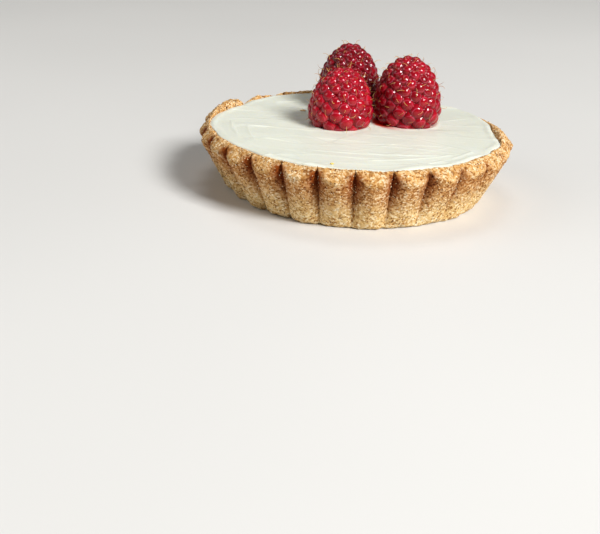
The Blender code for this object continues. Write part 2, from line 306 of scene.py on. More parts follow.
def add(tree, kind, inputs=(), stops=(), **settings):
    """Adds a node with its settings and its colour stops, as (place, sRGB hex), fills or links its inputs,
    and gives its first output in use."""
    node = tree.nodes.new(kind)
    for number, (place, text) in enumerate(stops):
        band = node.color_ramp.elements
        stop = band[number] if number < len(band) else band.new(place)
        stop.position = place
        stop.color = linear(text)
    for name, value in settings.items():
        setattr(node, name, value)
    fill(tree, node, inputs)
    return next((s for s in node.outputs if s.enabled), node)


def new_tree(name, **inputs):
    """A geometry tree with a geometry input, these named inputs and a geometry output."""
    tree = bpy.data.node_groups.new(name, "GeometryNodeTree")
    tree.interface.new_socket("Geometry", in_out="OUTPUT", socket_type="NodeSocketGeometry")
    tree.interface.new_socket("Geometry", in_out="INPUT", socket_type="NodeSocketGeometry")
    for label, kind in inputs.items():
        tree.interface.new_socket(label.replace("_", " "), in_out="INPUT", socket_type="NodeSocket" + kind)
    sockets = tree.nodes.new("NodeGroupInput").outputs
    return tree, {socket.name: socket for socket in sockets if socket.name}


def linked(name, data):
    """A new object with this data, in the scene."""
    thing = bpy.data.objects.new(name, data)
    bpy.context.scene.collection.objects.link(thing)
    return thing


def mesh_of(name, points, faces=()):
    mesh = bpy.data.meshes.new(name)
    mesh.from_pydata(points, [], faces)
    return mesh


def finish_tree(tree, geometry, finish):
    """Ends a tree with real geometry in its one finish."""
    real = add(tree, "GeometryNodeRealizeInstances", {"Geometry": geometry})
    dressed = add(tree, "GeometryNodeSetMaterial", {"Geometry": real, "Material": finish})
    add(tree, "NodeGroupOutput", {"Geometry": dressed})


def grow(name, mesh, tree, **values):
    """Runs a geometry tree on a mesh, and gives the result as a plain object."""
    seed = linked(name + "_seed", mesh)
    modifier = seed.modifiers.new("grow", "NODES")
    modifier.node_group = tree
    for item in tree.interface.items_tree:
        key = item.name.replace(" ", "_")
        if item.in_out == "INPUT" and key in values:
            modifier[item.identifier] = values[key]
    depsgraph = bpy.context.evaluated_depsgraph_get()
    grown = bpy.data.meshes.new_from_object(seed.evaluated_get(depsgraph), depsgraph=depsgraph)
    bpy.data.objects.remove(seed)
    grown.name = name
    return linked(name, grown)


def tag(mesh, name, values, kind="FLOAT"):
    """Stores a value or a vector for each point of a mesh under a name."""
    field = "vector" if kind == "FLOAT_VECTOR" else "value"
    data = np.ascontiguousarray(values, dtype=np.float32).ravel()
    mesh.attributes.new(name, kind, "POINT").data.foreach_set(field, data)


def lathe_mesh(name, rows):
    """A closed mesh from rings, [ring, place round it, xyz], with a point that closes each end."""
    count, around, _ = rows.shape
    points = with_ends(rows)
    first, last = count * around, count * around + 1
    ring = np.arange(around)
    after = (ring + 1) % around
    faces = []
    for row in range(count - 1):
        low, high = row * around, (row + 1) * around
        faces += np.stack([low + ring, low + after, high + after, high + ring], 1).tolist()
    faces += np.stack([np.full(around, first), after, ring], 1).tolist()
    top = (count - 1) * around
    faces += np.stack([np.full(around, last), top + ring, top + after], 1).tolist()
    return mesh_of(name, points.tolist(), faces)


def with_ends(rows):
    """A ring table of values, [ring, place], in the order of lathe_mesh's points."""
    return np.concatenate([rows.reshape(-1, *rows.shape[2:]), rows[0].mean(0)[None], rows[-1].mean(0)[None]])


def hand_over(thing, node):
    """A finished piece: smooth, riding on the tart and in its node's place."""
    thing.data.shade_smooth()
    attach(thing, BODY)
    if node:
        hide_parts(node)


def smooth_step(values, low, high):
    share = np.clip((values - low) / (high - low), 0, 1)
    return share * share * (3 - 2 * share)


def bumps_at(bearings, bumps):
    """The sums, at these bearings, of bell-shaped bumps given as (bearing, half-width, size, size ...)."""
    sums = np.zeros((len(bumps[0]) - 2, *bearings.shape))
    for middle, half_width, *sizes in bumps:
        off = np.degrees(np.remainder(bearings - math.radians(middle) + math.pi, TURN) - math.pi)
        share = np.exp(-((off / half_width) ** 2))
        sums += np.array(sizes).reshape(-1, *[1] * bearings.ndim) * share
    return sums


# Finishes


def new_finish(name, **inputs):
    """A material with one Principled shader with these inputs, and what it needs to take more nodes."""
    made = bpy.data.materials.new(name)
    made.use_nodes = True
    tree = made.node_tree
    shader = tree.nodes["Principled BSDF"]
    for label, value in inputs.items():
        shader.inputs[label.replace("_", " ")].default_value = value
    return made, tree, shader


def shortcrust_finish():
    """Wholegrain shortcrust, pressed in a tin for the oven: a dry, matt, sandy face of fused crumbs, golden
    where the grain is pale, brown where the bran and the nuts lie, darker high on the wall, partly from
    toasting and partly painted shade, with partly painted light on its golden top and painted shade in its
    grooves and hollows."""
    made, tree, shader = new_finish(
        "wholegrain_shortcrust", Roughness=0.82, IOR=1.45, Specular_IOR_Level=0.15,
    )
    place = add(tree, "ShaderNodeTexCoord").node.outputs["Object"]
    height = add(tree, "ShaderNodeSeparateXYZ", {"Vector": place}).node.outputs["Z"]

    # Crumbs are about 0.55 mm across, each of its own shade, in drifts of about 6 mm.
    crumbs = add(tree, "ShaderNodeTexVoronoi", {"Vector": place, "Scale": 1 / (0.55 * MM)})
    shade = add(tree, "ShaderNodeSeparateColor", {"Color": crumbs.node.outputs["Color"]})
    grit = add(tree, "ShaderNodeTexNoise", {"Vector": place, "Scale": 1 / (0.48 * MM), "Detail": 3.0})
    drift = add(tree, "ShaderNodeTexNoise", {"Vector": place, "Scale": 1 / (6.0 * MM), "Detail": 2.0})
    mixed = 0.0
    for change, weight in ((shade, 0.42), (grit, 0.55), (drift, 0.30)):
        mixed = add(tree, "ShaderNodeMath", (change, weight, mixed), operation="MULTIPLY_ADD")
    places = (0.37, 0.55, 0.74, 0.93)
    sandy, toasted, golden = (
        add(tree, "ShaderNodeValToRGB", {"Fac": mixed}, stops=tuple(zip(places, shades)))
        for shades in (("94622E", "D3AB6C", "E8CB94", "F8ECCE"), ("6A3612", "AC7239", "CE9C62", "F2DCB6"),
                       ("8A5426", "BE8C4C", "D2AC78", "EADBBA"))
    )

    # The wall is sandy at the foot and toasted under the rim, and the rim itself is golden. This is partly
    # the crust's own colour and partly painted light: paler at the foot for light thrown up from the table,
    # darker under the rim for painted shade below its overhang, and golden where the top and its shoulder
    # face the lamps, reaching lowest at each lobe's middle.
    high = add(tree, "ShaderNodeMath", (drift, 6.0 * MM, height), operation="MULTIPLY_ADD")
    toast_and_shade = add(tree, "ShaderNodeMapRange", {"Value": high, "From Min": 6.5 * MM, "From Max": 17.0 * MM},
                interpolation_type="SMOOTHSTEP")
    wall = add(tree, "ShaderNodeMix", {"Factor": toast_and_shade, "A": sandy, "B": toasted}, data_type="RGBA")
    groove, baked, relief = (add(tree, "ShaderNodeAttribute", attribute_name=name).node.outputs["Fac"]
                             for name in ("groove", "baked", "relief"))
    crest = add(tree, "ShaderNodeMath", (groove, -3.2 * MM, height), operation="MULTIPLY_ADD")
    crest = add(tree, "ShaderNodeMapRange", {"Value": crest, "From Min": 14.5 * MM, "From Max": 16.0 * MM},
                interpolation_type="SMOOTHSTEP")
    colour = add(tree, "ShaderNodeMix", {"Factor": crest, "A": wall, "B": golden}, data_type="RGBA")

    # Painted shade: the grooves are darker and browner towards the rim, most where the flutes are deepest,
    # and a darker line runs down each groove's bottom, fading out towards the foot.
    deep = add(tree, "ShaderNodeMapRange", {"Value": groove, "From Min": 0.06, "From Max": 0.60})
    upper = add(tree, "ShaderNodeMapRange", {"Value": height, "From Min": 4.0 * MM, "From Max": 15.0 * MM})
    lower = add(tree, "ShaderNodeMapRange", {"Value": height, "From Min": 19.3 * MM, "From Max": 18.0 * MM})
    line = add(tree, "ShaderNodeMapRange", {"Value": groove, "From Min": 0.70, "From Max": 1.0})
    fading = add(tree, "ShaderNodeMapRange", {"Value": height, "From Min": 1.0 * MM, "From Max": 9.0 * MM})
    for shares, shade in (((deep, upper, baked, lower), "A66A34"), ((line, lower, fading), "D0AC84")):
        factor = shares[0]
        for share in shares[1:]:
            factor = add(tree, "ShaderNodeMath", (factor, share), operation="MULTIPLY")
        colour = add(tree, "ShaderNodeMix", {"Factor": factor, "A": colour, "B": linear(shade)},
                     data_type="RGBA", blend_type="MULTIPLY")

    # Painted shade: hollows between the crumbs are darker, and their tops are paler.
    hollow_shade = add(tree, "ShaderNodeValToRGB", {"Fac": relief}, stops=((0.22, "6B4526"), (0.45, "FFFFFF")))
    colour = add(tree, "ShaderNodeMix", {"Factor": 0.6, "A": colour, "B": hollow_shade}, data_type="RGBA",
                 blend_type="MULTIPLY")
    rough = add(tree, "ShaderNodeBump", {"Height": mixed, "Distance": 0.25 * MM, "Strength": 0.7})
    fill(tree, shader, {"Base Color": colour, "Normal": rough})
    return made


def crumb_finish(name, shades):
    """Loose grains that the oven set into the shortcrust, each grain of one shade."""
    made, tree, shader = new_finish(name, Roughness=0.75, IOR=1.45, Specular_IOR_Level=0.35)
    shade = add(tree, "ShaderNodeAttribute", attribute_name="shade").node.outputs["Fac"]
    colour = add(tree, "ShaderNodeValToRGB", {"Fac": shade}, stops=shades)
    fill(tree, shader, {"Base Color": colour})
    return made


def cream_finish():
    """Whipped cream-cheese filling, spread with a palette knife: dense off-white, softly glossy, light
    passes a little way in, and it takes a pink tinge where raspberry juice has run."""
    made, tree, shader = new_finish(
        "spread_cream_filling", Roughness=0.42, IOR=1.45, Subsurface_Weight=0.35,
        Subsurface_Radius=(1.0, 0.85, 0.6), Subsurface_Scale=1.6 * MM,
    )
    place = add(tree, "ShaderNodeTexCoord").node.outputs["Object"]
    cloud = add(tree, "ShaderNodeTexNoise", {"Vector": place, "Scale": 1 / (14.0 * MM), "Detail": 3.0})
    plain = add(tree, "ShaderNodeValToRGB", {"Fac": cloud}, stops=((0.35, "D3D6C9"), (0.65, "D9DBCE")))
    stain = add(tree, "ShaderNodeAttribute", attribute_name="juice").node.outputs["Fac"]
    colour = add(tree, "ShaderNodeMix", {"Factor": stain, "A": plain, "B": linear("D83012")},
                 data_type="RGBA")

    # The knife drags fine parallel lines, about 0.9 mm apart, mostly from left to right.
    dragged = add(tree, "ShaderNodeMapping", {"Vector": place, "Scale": (0.12, 1.0, 1.0)})
    lines = add(tree, "ShaderNodeTexNoise",
                {"Vector": dragged, "Scale": 1 / (0.9 * MM), "Detail": 3.0, "Distortion": 0.4})
    film = add(tree, "ShaderNodeBump", {"Height": lines, "Distance": 0.06 * MM, "Strength": 0.6})
    fill(tree, shader, {"Base Color": colour, "Normal": film})
    return made


def raspberry_finish():
    """Ripe raspberry: each drupelet is a tight, juicy red skin with a clear shine; the pink line where the
    drupelets meet is partly a pale down and partly painted sheen, and the creases are painted shade."""
    made, tree, shader = new_finish(
        "ripe_raspberry_skin", Roughness=0.42, IOR=1.36, Specular_IOR_Level=0.1, Subsurface_Weight=0.15,
        Subsurface_Radius=(1.0, 0.12, 0.10), Subsurface_Scale=0.9 * MM, Coat_Weight=1.0,
        Coat_Roughness=0.04, Coat_IOR=1.40,
    )
    place = add(tree, "ShaderNodeTexCoord").node.outputs["Object"]
    tint, ridge, aside = (add(tree, "ShaderNodeAttribute", attribute_name=name).node.outputs["Fac"]
                          for name in ("tint", "ridge", "aside"))
    cloud = add(tree, "ShaderNodeTexNoise", {"Vector": place, "Scale": 1 / (1.6 * MM), "Detail": 3.0})
    mixed = add(tree, "ShaderNodeMath", (cloud, tint), operation="ADD")
    mixed = add(tree, "ShaderNodeMath", (mixed, 0.5), operation="MULTIPLY")
    flesh = add(tree, "ShaderNodeValToRGB", {"Fac": mixed},
                stops=((0.20, "62000A"), (0.50, "8E0014"), (0.80, "AE0C20")))

    # Ridge is how far a drupelet stands over its neighbour here, in shares of 2 mm. The crease is painted
    # shade, a dark wine red, and the thin pale ring just inside each drupelet's edge is partly the down's
    # own tint and partly painted sheen.
    crease = add(tree, "ShaderNodeValToRGB", {"Fac": ridge},
                 stops=((0.00, "8A5055"), (0.10, "CCA8AC"), (0.20, "FFFFFF")))
    colour = add(tree, "ShaderNodeMix", {"Factor": 1.0, "A": flesh, "B": crease}, data_type="RGBA",
                 blend_type="MULTIPLY")
    # Painted sheen, partly the down's own tint: a thin pale pink ring just inside each drupelet's edge.
    down = add(tree, "ShaderNodeValToRGB", {"Fac": aside},
               stops=((0.63, "000000"), (0.69, "FFFFFF"), (0.72, "FFFFFF"), (0.78, "000000")))
    patchy = add(tree, "ShaderNodeTexNoise", {"Vector": place, "Scale": 1 / (2.5 * MM), "Detail": 2.0})
    patchy = add(tree, "ShaderNodeMapRange", {"Value": patchy, "From Min": 0.30, "From Max": 0.60,
                                              "To Min": 0.10, "To Max": 0.42})
    down_and_sheen = add(tree, "ShaderNodeMath", (down, patchy), operation="MULTIPLY")
    colour = add(tree, "ShaderNodeMix", {"Factor": down_and_sheen, "A": colour, "B": linear("D0506C")},
                 data_type="RGBA")
    fuzz = add(tree, "ShaderNodeTexNoise", {"Vector": place, "Scale": 1 / (0.35 * MM), "Detail": 2.0})
    skin = add(tree, "ShaderNodeBump", {"Height": fuzz, "Distance": 0.05 * MM, "Strength": 0.35})
    fill(tree, shader, {"Base Color": colour, "Normal": skin})
    return made


def hair_finish():
    """Dried raspberry styles: fine, tough, golden threads with a slight gloss."""
    made, tree, shader = new_finish("dried_golden_styles", Roughness=0.45, IOR=1.5)
    place = add(tree, "ShaderNodeTexCoord").node.outputs["Object"]
    change = add(tree, "ShaderNodeTexNoise", {"Vector": place, "Scale": 1 / (3.0 * MM)})
    colour = add(tree, "ShaderNodeValToRGB", {"Fac": change}, stops=((0.35, "A86428"), (0.65, "E4B868")))
    fill(tree, shader, {"Base Color": colour})
    return made


def tabletop_finish():
    """A smooth, painted, pale studio table: matt, with a barely clouded coat."""
    made, tree, shader = new_finish("pale_painted_table", Roughness=0.6, IOR=1.45)
    place = add(tree, "ShaderNodeTexCoord").node.outputs["Object"]
    cloud = add(tree, "ShaderNodeTexNoise", {"Vector": place, "Scale": 1 / (250.0 * MM), "Detail": 2.0})
    colour = add(tree, "ShaderNodeValToRGB", {"Fac": cloud}, stops=((0.3, "CFCECB"), (0.7, "D5D4D1")))
    fill(tree, shader, {"Base Color": colour})
    return made


# Shell


def lobe_quirks():
    """How far each lobe departs from the regular one, in shares of the most: at the rim out and up,
    and at the foot out and up."""
    draw = random.Random(LOBE_SEED)
    return np.array([(draw.uniform(-1, 1), draw.uniform(-1, 1), draw.uniform(-1, 1), draw.random())
                     for _ in range(FLUTES)])


def fill_edge(bearings):
    """The filling's radius at these bearings: the knife left an uneven edge."""
    waves = sum(size * np.sin(count * bearings + start) for count, size, start in EDGE_WAVES)
    return FILL_RADIUS + MM * (waves + bumps_at(bearings, EDGE_BULGES)[0])


def shell_sections(bearings, groove):
    """The shell's cuts at these bearings with this share of the groove's depth pressed in, as
    [level, (radius, height), bearing], from the foot over the rim to the floor."""
    turns = np.remainder((bearings - GROOVE_BEARING) / TURN * FLUTES, FLUTES)
    lobe = turns.astype(int) % FLUTES
    across = 2 * (turns - np.floor(turns)) - 1
    reach, rise, foot_reach, foot_rise = lobe_quirks()[lobe].T
    swell = 1 - across**2
    spread, raised = bumps_at(bearings, RIM_SWELLS)
    lift = LOBE_RISE * rise * swell + raised * MM
    rim = RIM_RADIUS + LOBE_REACH * reach * swell + spread * MM
    crown = CROWN_HEIGHT + lift

    # The wall is a line in radius and height, and so is the sloping top: they meet at the edge.
    shift = BASE_SHIFT[0] * np.cos(bearings) + BASE_SHIFT[1] * np.sin(bearings)
    foot_depth = FLUTE_DEPTH_FOOT + bumps_at(bearings, DEEP_FOOT)[0] * MM
    rim_depth = FLUTE_DEPTH_RIM + bumps_at(bearings, SHALLOW_RIM)[0] * MM
    foot = BASE_RADIUS + shift - foot_depth * groove + FOOT_REACH * foot_reach * swell
    flare = (rim - rim_depth * groove - foot) / EDGE_HEIGHT
    fall = (RIM_RADIUS - CROWN_RADIUS) / (CROWN_HEIGHT - EDGE_HEIGHT)
    edge = (CROWN_RADIUS + crown * fall - foot) / (flare + fall)
    inner = fill_edge(bearings) + FIT_GAP
    lip = np.full_like(bearings, FILL_HEIGHT - LIP_DROP)
    soft = edge - RIM_SOFTNESS
    crown_radius = np.minimum(CROWN_RADIUS, foot + flare * edge - RIM_SOFTNESS)
    ragged = np.sin(61 * bearings + 2 * np.sin(9 * bearings)) * np.sin(23 * bearings + 1.0)
    heel = FOOT_SOFTNESS + FOOT_RISE * foot_rise * swell + FOOT_RAGGEDNESS * ragged
    zero = np.zeros_like(bearings)
    levels = [
        (foot * 0.5, zero),
        (foot - 3 * MM, zero),
        (foot - heel * FOOT_INSET_SHARE, zero),
        (foot + flare * heel, heel),
        (foot + flare * soft, soft),
        (foot + flare * edge - RIM_SOFTNESS * RIM_INSET_SHARE, edge + RIM_SOFTNESS * (1 - RIM_INSET_SHARE)),
        (np.maximum(crown_radius, inner + SHOULDER_WIDTH), crown),
        (inner + SHOULDER_WIDTH, np.maximum(crown - SHOULDER_WIDTH, lip + SHOULDER_WIDTH)),
        (inner, lip),
        (zero + FLOOR_RADIUS, zero + FLOOR_THICKNESS),
        (zero + FLOOR_RADIUS * 0.5, zero + FLOOR_THICKNESS),
    ]
    return np.array(levels)


def row_weights(spans, blur):
    """How much of each level goes into each row, with so many rows between neighbouring levels, and
    the corners rounded over this many rows."""
    total = sum(spans)
    share = np.zeros((total + 1, len(spans) + 1))
    row = 0
    for level, span in enumerate(spans):
        for step in range(span):
            share[row, level] = 1 - step / span
            share[row, level + 1] = step / span
            row += 1
    share[total, len(spans)] = 1
    gap = np.arange(total + 1)[:, None] - np.arange(total + 1)[None]
    spread = np.exp(-0.5 * (gap / blur) ** 2)
    return (spread / spread.sum(1, keepdims=True)) @ share


def placed_rows(sections, bearings, spans, blur):
    """Rings of points, [ring, bearing, xyz], through the sections. Their corners are softened, but for
    the foot's."""
    crisp = [row_weights(spans, CRISP_BLUR) @ part for part in (sections[:, 0], sections[:, 1])]
    soft = [row_weights(spans, blur) @ part for part in (sections[:, 0], sections[:, 1])]
    share = smooth_step(crisp[1], *CRISP_HEIGHTS)
    radius, height = (hard + share * (round_one - hard) for hard, round_one in zip(crisp, soft))
    return np.stack([radius * np.cos(bearings), radius * np.sin(bearings), height], 2)


def flute_tree():
    """Presses the flutes into a plain shell, then breaks its face up into crumbs and pits."""
    tree, given = new_tree(
        "fluted_shortcrust", Flutes="Float", First_Groove="Float", Roundness="Float",
        Crease_Place="Float", Crease_Share="Float",
        Lump_Size="Float", Lump_Depth="Float", Crumb_Size="Float", Crumb_Depth="Float",
        Pit_Size="Float", Pit_Depth="Float", Seed="Float", Finish="Material",
    )
    place = add(tree, "GeometryNodeInputPosition")
    sides = add(tree, "ShaderNodeSeparateXYZ", {"Vector": place}).node.outputs
    bearing = add(tree, "ShaderNodeMath", (sides["Y"], sides["X"]), operation="ARCTAN2")
    turned = add(tree, "ShaderNodeMath", (bearing, given["First Groove"]), operation="SUBTRACT")
    for factor in (given["Flutes"], 1 / TURN):
        turned = add(tree, "ShaderNodeMath", (turned, factor), operation="MULTIPLY")
    within = add(tree, "ShaderNodeMath", (turned,), operation="FRACT")
    across = add(tree, "ShaderNodeMath", (within, 2.0, -1.0), operation="MULTIPLY_ADD")

    # A lobe is the arc of a circle: 1 - sqrt(1 - (roundness * across)^2), scaled to 1 in the grooves.
    reach = add(tree, "ShaderNodeMath", (across, given["Roundness"]), operation="MULTIPLY")
    ends = []
    for share in (reach, given["Roundness"]):
        squared = add(tree, "ShaderNodeMath", (share, share), operation="MULTIPLY")
        left = add(tree, "ShaderNodeMath", (1.0, squared), operation="SUBTRACT")
        root = add(tree, "ShaderNodeMath", (left,), operation="SQRT")
        ends.append(add(tree, "ShaderNodeMath", (1.0, root), operation="SUBTRACT"))
    groove = add(tree, "ShaderNodeMath", (ends[0], ends[1]), operation="DIVIDE")

    # Two lobes meet in a narrow crease, deeper than their arcs.
    side = add(tree, "ShaderNodeMath", (across,), operation="ABSOLUTE")
    crease = add(tree, "ShaderNodeMapRange", {"Value": side, "From Min": given["Crease Place"],
                                              "From Max": 1.0})
    cut = add(tree, "ShaderNodeMath", (crease, given["Crease Share"], groove), operation="MULTIPLY_ADD")
    press = add(tree, "GeometryNodeInputNamedAttribute", {"Name": "press"}, data_type="FLOAT_VECTOR")
    pressed = add(tree, "ShaderNodeVectorMath", {0: press, "Scale": cut}, operation="SCALE")
    fluted = add(tree, "GeometryNodeStoreNamedAttribute",
                 {"Geometry": given["Geometry"], "Name": "groove", "Value": groove})
    fluted = add(tree, "GeometryNodeSetPosition", {"Geometry": fluted, "Offset": pressed})

    # Three sizes of unevenness, each centred on nought, add up to the relief in metres.
    relief = 0.0
    for size, depth, detail in (("Lump Size", "Lump Depth", 2.0), ("Crumb Size", "Crumb Depth", 3.0)):
        scale = add(tree, "ShaderNodeMath", (1.0, given[size]), operation="DIVIDE")
        cloud = add(tree, "ShaderNodeTexNoise",
                    {"Vector": place, "W": given["Seed"], "Scale": scale, "Detail": detail, "Roughness": 0.6},
                    noise_dimensions="4D")
        centred = add(tree, "ShaderNodeMath", (cloud, 0.5), operation="SUBTRACT")
        relief = add(tree, "ShaderNodeMath", (centred, given[depth], relief), operation="MULTIPLY_ADD")
    scale = add(tree, "ShaderNodeMath", (1.0, given["Pit Size"]), operation="DIVIDE")
    cells = add(tree, "ShaderNodeTexVoronoi", {"Vector": place, "W": given["Seed"], "Scale": scale},
                voronoi_dimensions="4D")
    pit = add(tree, "ShaderNodeMapRange", {"Value": cells, "From Min": 0.12, "From Max": 0.34, "To Min": 1.0,
                                           "To Max": 0.0}, interpolation_type="SMOOTHSTEP")
    dug = add(tree, "ShaderNodeMath", (pit, given["Pit Depth"]), operation="MULTIPLY")
    relief = add(tree, "ShaderNodeMath", (relief, dug), operation="SUBTRACT")

    crumbly = add(tree, "GeometryNodeInputNamedAttribute", {"Name": "crumbly"})
    relief = add(tree, "ShaderNodeMath", (relief, crumbly), operation="MULTIPLY")

    # The face keeps its relief in millimetres, about a half, for the painted shade in its hollows.
    tone = add(tree, "ShaderNodeMath", (relief, 1 / MM, 0.5), operation="MULTIPLY_ADD")
    kept = add(tree, "GeometryNodeStoreNamedAttribute", {"Geometry": fluted, "Name": "relief", "Value": tone})
    outwards = add(tree, "GeometryNodeInputNormal")
    moved = add(tree, "ShaderNodeVectorMath", {0: outwards, "Scale": relief}, operation="SCALE")
    broken = add(tree, "GeometryNodeSetPosition", {"Geometry": kept, "Offset": moved})
    finish_tree(tree, broken, given["Finish"])
    return tree


def build_crust(finish):
    around = FLUTES * SIDES_PER_FLUTE
    bearings = GROOVE_BEARING + TURN * np.arange(around) / around
    blur = CORNER_SOFTNESS / (EDGE_HEIGHT / WALL_ROWS)
    plain, deep = (placed_rows(shell_sections(bearings, pressed), bearings, SHELL_SPANS, blur)
                   for pressed in (0.0, 1.0))
    place = np.arange(len(plain))
    inside = sum(SHELL_SPANS[:SPANS_OUTSIDE])
    shown = smooth_step(place, *HEEL_ROWS) * (1 - smooth_step(place, inside, inside + FADING_ROWS))

    # The wall was pressed smooth by the tin. The top broke off rough, most of all at the back left.
    on_top = smooth_step(plain[..., 2], *TOP_HEIGHTS)
    broken = bumps_at(bearings, ROUGH_RIM)[0]
    crumbly = shown[:, None] * (WALL_ROUGHNESS + on_top * (TOP_ROUGHNESS + broken))
    mesh = lathe_mesh("crust_blank", plain)
    tag(mesh, "press", with_ends(deep - plain), "FLOAT_VECTOR")

    # Where the flutes are shallow, their grooves get less painted shade.
    depth = FLUTE_DEPTH_RIM + bumps_at(bearings, SHALLOW_RIM)[0] * MM
    tag(mesh, "baked", with_ends(np.tile((depth / FLUTE_DEPTH_RIM) ** 2, (len(plain), 1))))
    tag(mesh, "crumbly", with_ends(crumbly))
    return grow(
        "crust_shell", mesh, flute_tree(), Flutes=float(FLUTES), First_Groove=GROOVE_BEARING,
        Roundness=LOBE_ROUNDNESS, Crease_Place=CREASE_PLACE, Crease_Share=CREASE_SHARE, Lump_Size=3.6 * MM,
        Lump_Depth=0.7 * MM, Crumb_Size=0.9 * MM, Crumb_Depth=0.60 * MM, Pit_Size=2.4 * MM,
        Pit_Depth=0.30 * MM, Seed=3.0, Finish=finish,
    )


# Grains


def grain_tree(name):
    """Strews small stones over a face, half sunk, each turned and scaled by chance."""
    tree, given = new_tree(
        name, Grains_Per_Area="Float", Smallest="Float", Largest="Float", Flatness="Float", Seed="Int",
        Finish="Material",
    )
    crumbly = add(tree, "GeometryNodeInputNamedAttribute", {"Name": "crumbly"})
    crowd = add(tree, "ShaderNodeMath", (crumbly, given["Grains Per Area"]), operation="MULTIPLY")
    points = add(tree, "GeometryNodeDistributePointsOnFaces",
                 {"Mesh": given["Geometry"], "Density": crowd, "Seed": given["Seed"]})
    facing = points.node.outputs["Rotation"]
    stone = add(tree, "GeometryNodeMeshIcoSphere", {"Radius": 0.5, "Subdivisions": 1})
    size = add(tree, "FunctionNodeRandomValue", {"Min": given["Smallest"], "Max": given["Largest"],
                                                 "Seed": given["Seed"]})
    uneven = add(tree, "FunctionNodeRandomValue",
                 {"Min": (0.6, 0.45, 0.8), "Max": (1.25, 0.9, 1.2), "Seed": 7}, data_type="FLOAT_VECTOR")
    thin = add(tree, "ShaderNodeCombineXYZ", {"X": 1.0, "Y": 1.0, "Z": given["Flatness"]})
    uneven = add(tree, "ShaderNodeVectorMath", (uneven, thin), operation="MULTIPLY")
    scale = add(tree, "ShaderNodeVectorMath", {0: uneven, "Scale": size}, operation="SCALE")
    laid = add(tree, "GeometryNodeInstanceOnPoints",
               {"Points": points, "Instance": stone, "Rotation": facing, "Scale": scale})
    spin = add(tree, "FunctionNodeRandomValue",
               {"Min": (-0.5, -0.5, 0.0), "Max": (0.5, 0.5, TURN), "Seed": 5}, data_type="FLOAT_VECTOR")
    spun = add(tree, "GeometryNodeRotateInstances", {"Instances": laid, "Rotation": spin})
    shade = add(tree, "FunctionNodeRandomValue", {"Min": 0.0, "Max": 1.0, "Seed": 9})
    marked = add(tree, "GeometryNodeStoreNamedAttribute", {"Geometry": spun, "Name": "shade", "Value": shade},
                 domain="INSTANCE")
    finish_tree(tree, marked, given["Finish"])
    return tree


def build_grains(crust):
    return [
        grow(name, crust.data.copy(), grain_tree("strewn_" + name), Grains_Per_Area=GRAINS_PER_AREA,
             Smallest=SMALLEST_GRAIN, Largest=largest, Flatness=flatness, Seed=seed,
             Finish=crumb_finish(finish, shades))
        for name, finish, shades, largest, flatness, seed in GRAINS
    ]


# Filling


def knife_strokes():
    """Strokes of the palette knife in metres and radians, the clear ones last."""
    draw = random.Random(STROKES_SEED)
    strokes = []
    for _ in range(STROKES):
        far = STROKES_REACH * math.sqrt(draw.random())
        at = draw.uniform(0, TURN)
        heading = draw.gauss(*STROKE_HEADING)
        sizes = [draw.uniform(least, most) for least, most in STROKE_SPANS]
        strokes.append((far * math.cos(at), far * math.sin(at), heading, *sizes))
    return [(x * MM, y * MM, math.radians(heading), length * MM, width * MM, bend, ridge * MM, tilt * MM)
            for x, y, heading, length, width, bend, ridge, tilt in (*strokes, *CLEAR_STROKES)]


def spread_height(x, y):
    """The cream's top: low, broad waves, wiped by one knife stroke after another."""
    sweep = sum(size * np.sin(along * x + across * y + start) for along, across, start, size in SPREAD_WAVES)
    height = SPREAD_WAVE * sweep
    for place_x, place_y, heading, half_length, half_width, bend, ridge, tilt in knife_strokes():
        along = (x - place_x) * math.cos(heading) + (y - place_y) * math.sin(heading)
        aside = (y - place_y) * math.cos(heading) - (x - place_x) * math.sin(heading) - bend * along**2
        ends = 1 - smooth_step(np.abs(along), half_length * STROKE_END, half_length)
        sides = [half_width + off for off in STROKE_SIDE]
        wiped = ends * (1 - smooth_step(np.abs(aside), *sides))
        face = STROKE_LEAVES * height + tilt * aside / half_width
        lines = LINE_HEIGHT * np.sin(aside / LINE_WIDTH + LINE_DRIFT * along)
        height = height + wiped * (face - height + lines)
        left = np.exp(-(((aside - half_width) / RIDGE_WIDTHS[0]) ** 2))
        right = np.exp(-(((aside + half_width) / RIDGE_WIDTHS[1]) ** 2))
        height = height + ends * ridge * (left + RIGHT_RIDGE_SHARE * right)
    return FILL_HEIGHT + height


